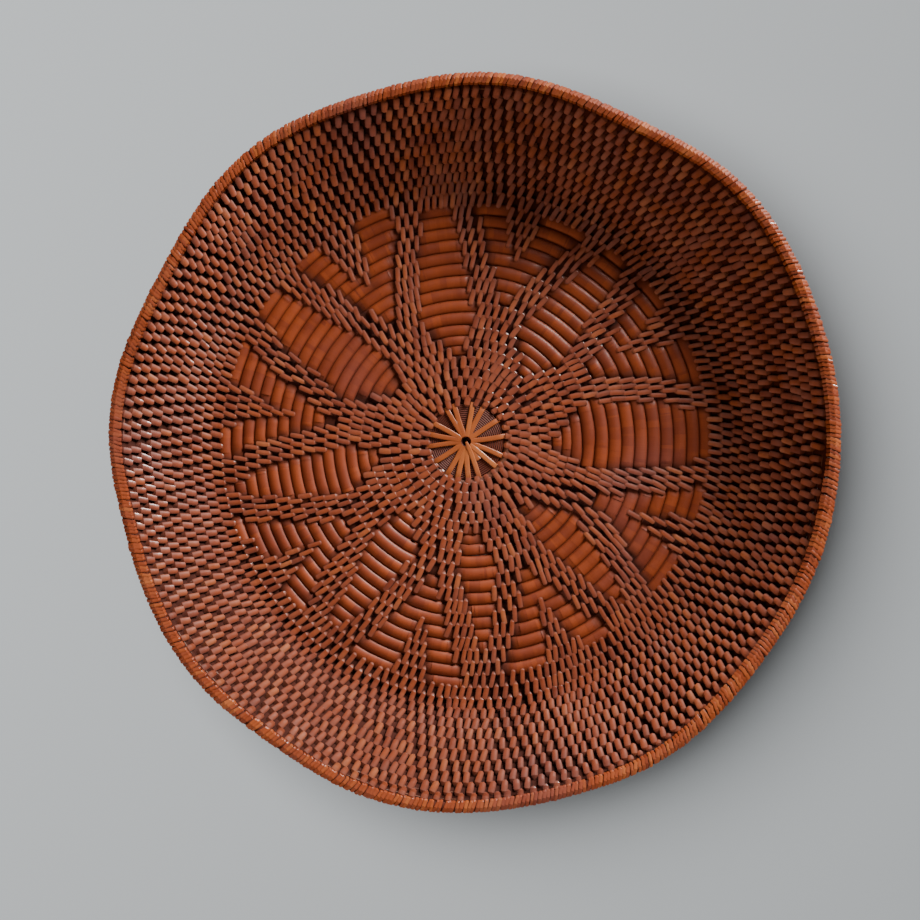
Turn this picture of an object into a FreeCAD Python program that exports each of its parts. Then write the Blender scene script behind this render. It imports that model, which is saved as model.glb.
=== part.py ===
import FreeCAD, Part
import math
import os

# A round tray of coiled cane. One long foundation cane runs in a spiral from the hub to the rim, first flat and
# then up a flared wall with a waved edge, and a thin binding strip is wrapped round every turn of it. The hub's
# centre stands on the origin, +Z is up and the underside rests on z = 0. Millimetres and degrees.

Vector = FreeCAD.Vector
UP = Vector(0, 0, 1)

# Hub: a bound disc with split-cane spokes laid on it round a small blind eye.
HUB_RADIUS = 18.5
HUB_THICKNESS = 3.4
EYE_RADIUS = 1.7
EYE_DEPTH = 2.6
SPOKE_WIDTH = 2.3
SPOKE_THICKNESS = 0.9
SPOKE_INNER_RADIUS = 2.5
SPOKE_OUTER_RADIUS = 18.2
SPOKE_CROWN = 0.35
SPOKE_ANGLES = (8, 34, 63, 80, 108, 121, 151, 169, 188, 213, 240, 257, 274, 290, 320, 338)
STUB_ANGLE = 305
STUB_OUTER_RADIUS = 11.0
SIDE_GAP = 0.06
LAYER_GAP = 0.03

# Coil: the inner turns are thinner than the rest, and the outer floor turns drift towards +X.
START_BINDING = 0.3
START_FIRST_POINT = 33
START_CLEARANCE = 0.12
HUB_GAP = 0.25
INNER_TURNS = 8
INNER_PITCH = 4.86
INNER_BOUND_RADIUS = 2.3
OUTER_TURNS = 10
OUTER_PITCH = 6.06
OUTER_BOUND_RADIUS = 2.7
OUTER_DRIFT_PER_TURN = 0.4
WALL_TURNS = 11
WALL_BOUND_RADIUS = 2.93
LAST_TURN_SHARE = 0.75
BINDING_THICKNESS = 0.45
CANE_CLEARANCE = 0.04

# Wall: its slope rises along the wall from the floor's edge to the rim, and eight uneven lobes wave the upper
# part: each pair of values is an angle round the tray and how far the wall leans out there.
FLARE_SLOPE = 46.0
LIP_SLOPE = 54.0
FLOOR_BEND_LENGTH = 14.0
FLARE_LENGTH = 24.0
LIP_BEND_LENGTH = 12.0
LOBE_START = 20.0
LOBE_FULL = 46.0
LOBE_LEANS = (
    (16, -0.7),
    (42, 8.6),
    (64, -6.8),
    (88, 5.8),
    (107, -0.7),
    (126, 6.6),
    (152, -9.6),
    (177, 1.8),
    (193, -5.3),
    (220, 2.8),
    (234, -1.5),
    (258, 10.6),
    (286, 0.5),
    (298, 3.8),
    (324, -7.1),
    (345, -3.1),
)

# Rim: a thicker bound rod on top of the last turn.
RIM_BOUND_RADIUS = 3.1
RIM_BINDING_THICKNESS = 0.5
RIM_GAP = 0.1

POINTS_PER_TURN = 72
SECTIONS_PER_LENGTH = 9
SLOPE_STEP = 0.25


def polar(radius, degrees, height=0.0):
    """The point at a radius and an angle about the Z axis."""
    angle = math.radians(degrees)
    return Vector(radius * math.cos(angle), radius * math.sin(angle), height)


def blend(value, start, end):
    """0 before start, 1 after end, and a smooth rise between them."""
    share = min(max((value - start) / (end - start), 0.0), 1.0)
    return share * share * (3.0 - 2.0 * share)


def lobe_lean(degrees):
    """How far the lobes lean the upper wall outwards at an angle, in degrees."""
    turns = [(angle + 360 * turn, lean) for turn in (-1, 0, 1) for angle, lean in LOBE_LEANS]
    angle = degrees % 360
    for (low, before), (high, after) in zip(turns, turns[1:]):
        if low <= angle < high:
            return before + (after - before) * (1 - math.cos(math.pi * (angle - low) / (high - low))) / 2
    return 0.0


def wall_slope(distance, degrees):
    """The wall's slope at a distance along it from the floor's edge."""
    flare_end = FLOOR_BEND_LENGTH + FLARE_LENGTH
    slope = FLARE_SLOPE * blend(distance, 0.0, FLOOR_BEND_LENGTH)
    slope += (LIP_SLOPE - FLARE_SLOPE) * blend(distance, flare_end, flare_end + LIP_BEND_LENGTH)
    return slope - blend(distance, LOBE_START, LOBE_FULL) * lobe_lean(degrees)


def climb(distance, degrees):
    """How far out and up the wall has gone at a distance along it from the floor's edge."""
    steps = max(1, math.ceil(distance / SLOPE_STEP))
    step = distance / steps
    out = 0.0
    height = 0.0
    for index in range(steps):
        slope = math.radians(wall_slope((index + 0.5) * step, degrees))
        out += step * math.cos(slope)
        height += step * math.sin(slope)
    return out, height


def tube_arc(centre, radius, start, height, outer, inner):
    """A quarter turn of tube about a vertical axis, hollow where inner is over zero."""
    middle = centre + polar(radius, start, height)
    tangent = polar(1.0, start + 90)
    face = Part.Face(Part.Wire(Part.makeCircle(outer, middle, tangent)))
    if inner > 0:
        face = face.cut(Part.Face(Part.Wire(Part.makeCircle(inner, middle, tangent)))).Faces[0]
    return face.revolve(centre, UP, 90)


def joined(pieces):
    """Lengths that meet end to end, joined into one solid."""
    return pieces[0].multiFuse(pieces[1:]).Solids[0]


def ring_at(curve, place, radius):
    """A circle square to a curve, with its seam level with the curve."""
    tangent = curve.tangent(place)[0]
    circle = Part.Circle(curve.value(place), tangent, radius)
    circle.XAxis = tangent.cross(UP)
    return Part.Wire(circle.toShape())


def tube_along(curve, places, radii, wall):
    """A tube through the places on a curve, with a radius at each, hollow where wall is over zero."""
    lengths = []
    for first in range(0, len(places) - 1, SECTIONS_PER_LENGTH):
        span = range(first, min(first + SECTIONS_PER_LENGTH, len(places) - 1) + 1)
        length = Part.makeLoft([ring_at(curve, places[index], radii[index]) for index in span], True)
        if wall > 0:
            rings = [ring_at(curve, places[index], radii[index] - wall) for index in span]
            length = length.cut(Part.makeLoft(rings, True))
        lengths.append(length)
    return joined(lengths)


def flat_spiral():
    """The quarter arcs of the flat turns, as centre, radius and start angle, and where the last one ends."""
    arcs = []
    centre = Vector(0, 0, 0)
    radius = HUB_RADIUS + INNER_PITCH / 2 + HUB_GAP
    for turn in range(INNER_TURNS + OUTER_TURNS):
        pitch = INNER_PITCH if turn < INNER_TURNS - 1 else OUTER_PITCH
        drift = 0.0 if turn < INNER_TURNS else OUTER_DRIFT_PER_TURN / 2
        for quarter in range(4):
            if turn or quarter:
                side = {0: -1, 2: 1}.get(quarter, 0)
                growth = pitch / 4 + drift * side
                radius += growth
                centre = centre - polar(growth, 90 * quarter)
            arcs.append((centre, radius, 90 * quarter))
    return arcs, centre, radius


def start_path(arcs):
    """The middle line of the coil's thinned start, between the hub and the first full turn, and its radii."""
    points, radii = [], []
    for index in range(START_FIRST_POINT, POINTS_PER_TURN + 1):
        degrees = 360.0 * index / POINTS_PER_TURN
        centre, radius, _ = arcs[min(int(degrees // 90), 3)]
        inner_edge = radius + centre.dot(polar(1.0, degrees)) - INNER_BOUND_RADIUS
        points.append(polar((HUB_RADIUS + inner_edge) / 2, degrees, INNER_BOUND_RADIUS))
        radii.append(min((inner_edge - HUB_RADIUS) / 2 - START_CLEARANCE, INNER_BOUND_RADIUS))
    return points, radii


def wall_path(centre, radius):
    """The middle line of the wall turns, their radii, and the spiral's own centre and radius at its start."""
    half_step = OUTER_PITCH / 8
    middle = centre - Vector(half_step, half_step, 0)
    start_radius = math.hypot(radius + half_step, half_step)
    start_angle = math.degrees(math.asin(half_step / start_radius))
    end = round((WALL_TURNS - 1 + LAST_TURN_SHARE) * POINTS_PER_TURN)
    points, radii = [], []
    for index in range(end + 1):
        turns = index / POINTS_PER_TURN
        taper = max(turns - (WALL_TURNS - 1), 0.0) * OUTER_PITCH / 2
        degrees = start_angle * (1 - blend(turns, 0, 1)) + 360.0 * turns
        distance = OUTER_PITCH * turns - taper
        points.append(on_wall(middle, start_radius, distance, degrees))
        radii.append(WALL_BOUND_RADIUS - taper)
    return points, radii, middle, start_radius


def rim_path(middle, start_radius):
    """The closed middle line of the rim rod, which lies on the last wall turn."""
    distance = OUTER_PITCH * (WALL_TURNS - 1) + WALL_BOUND_RADIUS + RIM_BOUND_RADIUS + RIM_GAP
    count = 2 * POINTS_PER_TURN
    return [on_wall(middle, start_radius, distance, 360.0 * index / count) for index in range(count)]


def on_wall(middle, start_radius, distance, degrees):
    """A point on the wall, which starts to rise half a pitch out from the last flat turn."""
    flat = min(distance, OUTER_PITCH / 2)
    out, height = climb(distance - flat, degrees)
    return middle + polar(start_radius + flat + out, degrees, WALL_BOUND_RADIUS + height)


def hub_backing():
    """The bound disc that the spokes lie on, with the blind eye in its middle."""
    disc = Part.makeCylinder(HUB_RADIUS, HUB_THICKNESS)
    eye = Part.makeCylinder(EYE_RADIUS, EYE_DEPTH, Vector(0, 0, HUB_THICKNESS - EYE_DEPTH))
    return disc.cut(eye)


def spoke(degrees, outer_radius, clear_angle):
    """One split-cane strip with a crowned top, tapered to a wedge where its neighbours crowd it."""
    half = SPOKE_WIDTH / 2
    spread = math.tan(math.radians(clear_angle))
    full_radius = max((half + SIDE_GAP) / spread, SPOKE_INNER_RADIUS + 1.0)
    inner_half = max(SPOKE_INNER_RADIUS * spread - SIDE_GAP, 0.2)
    base = HUB_THICKNESS + LAYER_GAP
    outline = [
        Vector(SPOKE_INNER_RADIUS, -inner_half, base),
        Vector(full_radius, -half, base),
        Vector(outer_radius, -half, base),
        Vector(outer_radius, half, base),
        Vector(full_radius, half, base),
        Vector(SPOKE_INNER_RADIUS, inner_half, base),
    ]
    strip = Part.Face(Part.makePolygon(outline + outline[:1])).extrude(Vector(0, 0, SPOKE_THICKNESS))
    crown_radius = (half * half + SPOKE_CROWN * SPOKE_CROWN) / (2 * SPOKE_CROWN)
    crown_axis = Vector(0, 0, base + SPOKE_THICKNESS - crown_radius)
    strip = strip.common(Part.makeCylinder(crown_radius, HUB_RADIUS, crown_axis, Vector(1, 0, 0))).Solids[0]
    strip.rotate(Vector(0, 0, 0), UP, degrees)
    return strip


def clear_angle_of(angle, angles):
    """Half the angle between a spoke and its nearest neighbour."""
    gaps = [abs((angle - other + 180) % 360 - 180) for other in angles if other != angle]
    return min(gaps) / 2


def save(name, shape):
    """Writes one named piece to its own file."""
    shape.exportStep(os.path.join("parts", name + ".step"))
    print(name, "valid", shape.isValid(), "closed", shape.isClosed(), "volume", round(shape.Volume, 1))


def make_hub():
    """The hub's backing, its spokes and the short stub between two of them."""
    save("hub_backing", hub_backing())
    angles = SPOKE_ANGLES + (STUB_ANGLE,)
    for index, angle in enumerate(SPOKE_ANGLES, 1):
        clear = clear_angle_of(angle, angles)
        save(f"hub_spoke_{index:02d}", spoke(angle, SPOKE_OUTER_RADIUS, clear))
    save("hub_stub", spoke(STUB_ANGLE, STUB_OUTER_RADIUS, clear_angle_of(STUB_ANGLE, angles)))


def make_floor(arcs):
    """The binding of each flat turn, and the foundation cane inside it in its two thicknesses."""
    canes = {"foundation_cane_inner": [], "foundation_cane_outer": []}
    for turn in range(INNER_TURNS + OUTER_TURNS):
        inner_zone = turn < INNER_TURNS
        bound = INNER_BOUND_RADIUS if inner_zone else OUTER_BOUND_RADIUS
        hollow = bound - BINDING_THICKNESS
        cane = "foundation_cane_inner" if inner_zone else "foundation_cane_outer"
        quarters = []
        for centre, radius, start in arcs[4 * turn:4 * turn + 4]:
            quarters.append(tube_arc(centre, radius, start, bound, bound, hollow))
            canes[cane].append(tube_arc(centre, radius, start, bound, hollow - CANE_CLEARANCE, 0))
        save(f"floor_turn_{turn + 1:02d}_binding", joined(quarters))
    for name, quarters in canes.items():
        save(name, joined(quarters))


def make_start(arcs):
    """The coil's thinned start, and the thinned end of the cane inside it."""
    points, radii = start_path(arcs)
    curve = Part.BSplineCurve()
    curve.interpolate(Points=points)
    places = curve.getKnots()
    thin = [max(radius - START_BINDING - CANE_CLEARANCE, CANE_CLEARANCE) for radius in radii]
    save("floor_start_binding", tube_along(curve, places, radii, START_BINDING))
    save("foundation_cane_start", tube_along(curve, places, thin, 0))


def make_wall(points, radii):
    """The binding of each wall turn, and the foundation cane inside them all."""
    curve = Part.BSplineCurve()
    curve.interpolate(Points=points)
    places = curve.getKnots()
    for turn in range(WALL_TURNS):
        span = slice(turn * POINTS_PER_TURN, (turn + 1) * POINTS_PER_TURN + 1)
        binding = tube_along(curve, places[span], radii[span], BINDING_THICKNESS)
        save(f"wall_turn_{turn + 1:02d}_binding", binding)
    thin = [radius - BINDING_THICKNESS - CANE_CLEARANCE for radius in radii]
    save("foundation_cane_wall", tube_along(curve, places, thin, 0))


def make_rim(points):
    """The rim rod and the binding wrapped closely round it."""
    curve = Part.BSplineCurve()
    curve.interpolate(Points=points, PeriodicFlag=True)
    places = curve.getKnots()
    bound = [RIM_BOUND_RADIUS] * len(places)
    rod = [RIM_BOUND_RADIUS - RIM_BINDING_THICKNESS - CANE_CLEARANCE] * len(places)
    save("rim_rod", tube_along(curve, places, rod, 0))
    save("rim_binding", tube_along(curve, places, bound, RIM_BINDING_THICKNESS))


def main():
    """Makes every piece of the tray."""
    os.makedirs("parts", exist_ok=True)
    arcs, centre, radius = flat_spiral()
    points, radii, middle, start_radius = wall_path(centre, radius)
    make_hub()
    make_start(arcs)
    make_floor(arcs)
    make_wall(points, radii)
    make_rim(rim_path(middle, start_radius))


main()
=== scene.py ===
"""A winnowing tray sewn from one long coil of cane, in lacquered red-brown.

The coil is wrapped all along its length and sewn to the turn inside it with slanting
stitches. Sixteen flat strips cross the hub, and a closely wrapped rim ends the wall.
Lengths are in metres, and one unit of travel along the coil is one full turn.
"""

import logging
import math
import random
from collections.abc import Callable
from dataclasses import dataclass, field
from enum import Enum

import bpy
import numpy as np
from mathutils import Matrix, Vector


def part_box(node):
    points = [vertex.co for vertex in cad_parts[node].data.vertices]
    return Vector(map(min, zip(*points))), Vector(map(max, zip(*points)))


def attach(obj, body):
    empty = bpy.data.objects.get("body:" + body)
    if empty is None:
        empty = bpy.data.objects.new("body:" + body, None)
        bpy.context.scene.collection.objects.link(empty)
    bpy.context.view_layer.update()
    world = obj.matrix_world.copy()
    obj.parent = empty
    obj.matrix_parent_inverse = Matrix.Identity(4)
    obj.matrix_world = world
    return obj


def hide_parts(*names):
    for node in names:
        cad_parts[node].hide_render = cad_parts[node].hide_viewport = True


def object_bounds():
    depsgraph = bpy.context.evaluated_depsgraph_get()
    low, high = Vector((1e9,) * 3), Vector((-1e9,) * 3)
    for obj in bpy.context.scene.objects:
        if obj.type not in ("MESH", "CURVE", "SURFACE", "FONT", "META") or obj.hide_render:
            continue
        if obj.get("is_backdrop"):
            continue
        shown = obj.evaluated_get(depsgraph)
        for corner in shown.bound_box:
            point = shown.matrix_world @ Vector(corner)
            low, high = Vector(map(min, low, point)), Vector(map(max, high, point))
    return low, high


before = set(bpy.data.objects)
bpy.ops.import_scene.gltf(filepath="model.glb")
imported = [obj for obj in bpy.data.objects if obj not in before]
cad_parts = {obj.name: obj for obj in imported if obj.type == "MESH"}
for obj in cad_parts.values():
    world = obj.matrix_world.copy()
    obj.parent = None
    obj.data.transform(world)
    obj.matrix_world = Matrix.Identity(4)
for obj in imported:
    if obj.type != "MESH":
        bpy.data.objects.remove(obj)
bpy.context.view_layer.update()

LOG = logging.getLogger("winnowing_tray")
MM = 0.001
BODY = "root"
SEED = 20

Color = tuple[float, float, float, float]


def unit(v: np.ndarray) -> np.ndarray:
    """Returns the vectors in the last axis of v at length one."""
    return v / np.maximum(np.linalg.norm(v, axis=-1, keepdims=True), 1e-12)


def ease(x: np.ndarray | float) -> np.ndarray:
    """Returns 0 below 0, 1 above 1 and a smooth rise between."""
    x = np.clip(x, 0.0, 1.0)
    return x * x * (3 - 2 * x)


def vertices_of(node: str) -> np.ndarray:
    """Reads the corners of a CAD node's mesh.

    Args:
        node: The node's name.

    Returns:
        One row for each corner.
    """
    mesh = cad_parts[node].data
    co = np.empty(len(mesh.vertices) * 3)
    mesh.vertices.foreach_get("co", co)
    return co.reshape(-1, 3)


def sectors_of(corners: np.ndarray, count: int) -> np.ndarray:
    """Returns which of count equal sectors round the hub's axis each corner lies in."""
    return (np.arctan2(corners[:, 1], corners[:, 0]) / math.tau % 1.0 * count).astype(int)


# ---------------------------------------------------------------- the coil's route


@dataclass
class CoilRoute:
    """The centre line of the coil, read from the nodes of its bound turns."""

    floor_turns: int = 18
    wall_turns: int = 11
    sectors: int = 72
    fewest_corners: int = 8
    thinnest: float = 0.4 * MM
    full_radius: float = 0.40
    travel: np.ndarray = field(init=False)
    reach: np.ndarray = field(init=False)
    height: np.ndarray = field(init=False)
    radius: np.ndarray = field(init=False)

    def __post_init__(self) -> None:
        """Reads every turn's node, sector by sector."""
        travel, reach, height, radius = [], [], [], []
        for turn, node in enumerate(self.nodes(), -1):
            co = vertices_of(node)
            out = np.hypot(co[:, 0], co[:, 1])
            sector = sectors_of(co, self.sectors)
            for k in range(self.sectors):
                here = sector == k
                if here.sum() < self.fewest_corners:
                    continue
                r, z = out[here], co[here, 2]
                size = (z.max() - z.min()) / 2
                if size < self.thinnest:
                    continue
                travel.append(turn + (k + 0.5) / self.sectors)
                reach.append((r.max() + r.min()) / 2)
                height.append((z.max() + z.min()) / 2)
                radius.append(size)
        order = np.argsort(travel)
        self.travel = np.array(travel)[order]
        self.reach = np.array(reach)[order]
        self.height = np.array(height)[order]
        self.radius = np.array(radius)[order]

    def nodes(self) -> list[str]:
        """Returns the names of the turns' nodes, from the hub outwards."""
        floor = [f"floor_turn_{k:02d}_binding" for k in range(1, self.floor_turns + 1)]
        wall = [f"wall_turn_{k:02d}_binding" for k in range(1, self.wall_turns + 1)]
        return ["floor_start_binding"] + floor + wall

    def end(self) -> float:
        """Returns how far the coil travels, in turns."""
        return float(self.travel[-1])

    def reach_at(self, t: np.ndarray | float) -> np.ndarray:
        """Returns the distance of the centre line from the hub's axis."""
        return np.interp(t, self.travel, self.reach)

    def place(self, t: np.ndarray) -> np.ndarray:
        """Finds points of the centre line.

        Args:
            t: Travel along the coil, in turns.

        Returns:
            The points, with x, y, z in the last axis.
        """
        r = self.reach_at(t)
        z = np.interp(t, self.travel, self.height)
        a = np.asarray(t) * math.tau
        return np.stack([r * np.cos(a), r * np.sin(a), z], axis=-1)

    def outer(self, t: np.ndarray) -> np.ndarray:
        """Finds the points one turn further out, or carried on past the last turn.

        Args:
            t: Travel along the coil, in turns.

        Returns:
            The points, with x, y, z in the last axis.
        """
        beyond = np.asarray(t) + 1 > self.travel[-1]
        carried = 2 * self.place(t) - self.place(np.asarray(t) - 1)
        return np.where(beyond[..., None], carried, self.place(np.asarray(t) + 1))

    def inner(self, t: np.ndarray) -> np.ndarray:
        """Finds the points one turn further in, or carried on inside the first turn.

        Args:
            t: Travel along the coil, in turns.

        Returns:
            The points, with x, y, z in the last axis.
        """
        before = np.asarray(t) < 1
        carried = 2 * self.place(t) - self.place(np.asarray(t) + 1)
        return np.where(before[..., None], carried, self.place(np.asarray(t) - 1))

    def fullness(self, t: np.ndarray, pitch: np.ndarray, least: float) -> np.ndarray:
        """Finds how full the coil is, which starts thin at the hub.

        Args:
            t: Travel along the coil, in turns.
            pitch: Distance between neighbouring turns there.
            least: The smallest answer given.

        Returns:
            Its thickness against its usual one, up to 1.
        """
        return np.clip(np.interp(t, self.travel, self.radius) / (self.full_radius * pitch), least, 1.0)

    def frame_at(self, t: np.ndarray) -> tuple[np.ndarray, np.ndarray, np.ndarray, np.ndarray]:
        """Finds the coil's own directions.

        Args:
            t: Travel along the coil, in turns.

        Returns:
            The direction along the coil, across it outwards, up into the bowl, and the
            distance between neighbouring turns.
        """
        step = 0.004
        along = unit(self.place(t + step) - self.place(t - step))
        across = self.outer(t) - self.inner(t)
        across = across - along * (across * along).sum(-1, keepdims=True)
        pitch = np.linalg.norm(across, axis=-1) / 2
        across = unit(across)
        return along, across, np.cross(across, along), pitch


# ---------------------------------------------------------------- finishes


class Shade(Enum):
    """Names the colours of the lacquer stains that the finishes mix, the near-black of the painted shade, and the
    dark colour painted on the core as shade.
    """

    # near-black that the painted shade darkens colours towards
    PAINTED_SHADE = (0.012, 0.0022, 0.0010, 1.0)
    OXBLOOD = (0.115, 0.020, 0.0075, 1.0)
    CHESTNUT = (0.200, 0.038, 0.0100, 1.0)
    AMBER = (0.300, 0.076, 0.0175, 1.0)
    # dark colour of the core cane, painted so that the gaps between turns read as shade
    SHADED_CORE = (0.060, 0.022, 0.010, 1.0)


def new_group(name: str, takes: dict[str, object], gives: dict[str, str]) -> bpy.types.NodeTree:
    """Makes an empty shader group with named sockets.

    Args:
        name: The group's name.
        takes: Input name to its default value; its type follows the value.
        gives: Output name to its socket type.

    Returns:
        The group, with one input node and one output node in it.
    """
    group = bpy.data.node_groups.new(name, "ShaderNodeTree")
    for label, value in takes.items():
        kind = "NodeSocketFloat"
        if isinstance(value, tuple):
            kind = "NodeSocketColor" if len(value) == 4 else "NodeSocketVector"
        socket = group.interface.new_socket(label, in_out="INPUT", socket_type=kind)
        socket.default_value = value
    for label, kind in gives.items():
        group.interface.new_socket(label, in_out="OUTPUT", socket_type=kind)
    group.nodes.new("NodeGroupInput")
    group.nodes.new("NodeGroupOutput")
    return group


def add(tree: bpy.types.NodeTree, kind: str, **settings: object) -> bpy.types.Node:
    """Adds a node to a tree.

    Args:
        tree: The tree that holds the node.
        kind: The node's type.
        **settings: Properties to set on it.

    Returns:
        The new node.
    """
    node = tree.nodes.new(kind)
    for key, value in settings.items():
        setattr(node, key, value)
    return node


def noise(tree: bpy.types.NodeTree, vector: bpy.types.NodeSocket, scale: float, detail: float) -> bpy.types.Node:
    """Adds a noise texture.

    Args:
        tree: The tree that holds the nodes.
        vector: The place that the noise reads.
        scale: How many blotches to a unit.
        detail: How many finer layers lie over them.

    Returns:
        The texture's node.
    """
    node = add(tree, "ShaderNodeTexNoise")
    node.inputs["Scale"].default_value = scale
    node.inputs["Detail"].default_value = detail
    tree.links.new(vector, node.inputs["Vector"])
    return node


def ramp(tree: bpy.types.NodeTree, value: bpy.types.NodeSocket, low: float, high: float) -> bpy.types.NodeSocket:
    """Adds a smooth rise from 0 to 1.

    Args:
        tree: The tree that holds the nodes.
        value: What is read.
        low: Where the rise starts.
        high: Where it ends.

    Returns:
        The risen value's socket.
    """
    node = add(tree, "ShaderNodeMapRange", interpolation_type="SMOOTHSTEP")
    node.inputs["From Min"].default_value = low
    node.inputs["From Max"].default_value = high
    tree.links.new(value, node.inputs["Value"])
    return node.outputs["Result"]


def blend(
    tree: bpy.types.NodeTree,
    share: bpy.types.NodeSocket,
    first: bpy.types.NodeSocket | Color,
    second: bpy.types.NodeSocket | Color,
    kind: str = "MIX",
) -> bpy.types.NodeSocket:
    """Returns the colour that mixes two others.

    Args:
        tree: The tree that holds the nodes.
        share: How much of the second colour.
        first: A colour or a socket.
        second: A colour or a socket.
        kind: The way they mix.

    Returns:
        The mixed colour's socket.
    """
    node = add(tree, "ShaderNodeMix", data_type="RGBA", blend_type=kind)
    tree.links.new(share, node.inputs[0])
    for socket, value in ((node.inputs[6], first), (node.inputs[7], second)):
        if isinstance(value, tuple):
            socket.default_value = value
        else:
            tree.links.new(value, socket)
    return node.outputs[2]


def math_node(tree: bpy.types.NodeTree, kind: str, a: object, b: object = 0.5) -> bpy.types.NodeSocket:
    """Adds one sum.

    Args:
        tree: The tree that holds the nodes.
        kind: The sum's name.
        a: A number or a socket.
        b: A number or a socket.

    Returns:
        The result's socket.
    """
    node = add(tree, "ShaderNodeMath", operation=kind)
    for socket, value in zip(node.inputs, (a, b)):
        if isinstance(value, (int, float)):
            socket.default_value = value
        else:
            tree.links.new(value, socket)
    return node.outputs[0]


class SharedEffects:
    """The effects that several finishes use, each one node group."""

    def __init__(self) -> None:
        """Builds each group once."""
        self.stain_and_shade = self._stain_and_shade()
        self.fibre = self._fibre()

    def _stain_and_shade(self) -> bpy.types.NodeTree:
        """Returns the group that colours a strip by its own tone, with blotches and old dark stains, and darkens it
        towards near-black by its Darkening input, which the cane finishes feed with painted shade.
        """
        group = new_group(
            "LacquerStainAndShade",
            {
                "Tone": 0.5,
                "Depth": 0.0,
                "Dark": Shade.OXBLOOD.value,
                "Middle": Shade.CHESTNUT.value,
                "Light": Shade.AMBER.value,
            },
            {"Color": "NodeSocketColor", "Patch": "NodeSocketFloat"},
        )
        takes, gives = group.nodes["Group Input"], group.nodes["Group Output"]
        where = add(group, "ShaderNodeTexCoord")
        patch = noise(group, where.outputs["Object"], 95.0, 3.0)
        broad = noise(group, where.outputs["Object"], 17.0, 2.0)
        tone = math_node(group, "ADD", takes.outputs["Tone"], math_node(group, "MULTIPLY", patch.outputs["Fac"], 0.7))
        dark = ramp(group, tone, 0.20, 0.85)
        light = ramp(group, tone, 0.80, 1.35)
        color = blend(group, dark, takes.outputs["Dark"], takes.outputs["Middle"])
        color = blend(group, light, color, takes.outputs["Light"])
        plum = math_node(group, "MULTIPLY", ramp(group, broad.outputs["Fac"], 0.55, 0.78), 0.45)
        color = blend(group, plum, color, (0.125, 0.040, 0.036, 1.0))
        # the Darkening input mixes the colour towards near-black; the cane finishes use it for painted shade
        color = blend(group, takes.outputs["Depth"], color, Shade.PAINTED_SHADE.value)
        group.links.new(color, gives.inputs["Color"])
        group.links.new(patch.outputs["Fac"], gives.inputs["Patch"])
        return group

    def _fibre(self) -> bpy.types.NodeTree:
        """Returns the group that gives the long fibres of split cane, from a strip's own map."""
        group = new_group(
            "CaneFibre",
            {"Vector": (0.0, 0.0, 0.0), "Along": 3.0, "Across": 40.0},
            {"Height": "NodeSocketFloat"},
        )
        takes, gives = group.nodes["Group Input"], group.nodes["Group Output"]
        parts = add(group, "ShaderNodeSeparateXYZ")
        group.links.new(takes.outputs["Vector"], parts.inputs[0])
        joined = add(group, "ShaderNodeCombineXYZ")
        for k, side in enumerate(("Along", "Across")):
            scaled = math_node(group, "MULTIPLY", parts.outputs[k], takes.outputs[side])
            group.links.new(scaled, joined.inputs[k])
        grain = noise(group, joined.outputs[0], 1.0, 4.0)
        group.links.new(grain.outputs["Fac"], gives.inputs["Height"])
        return group


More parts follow.
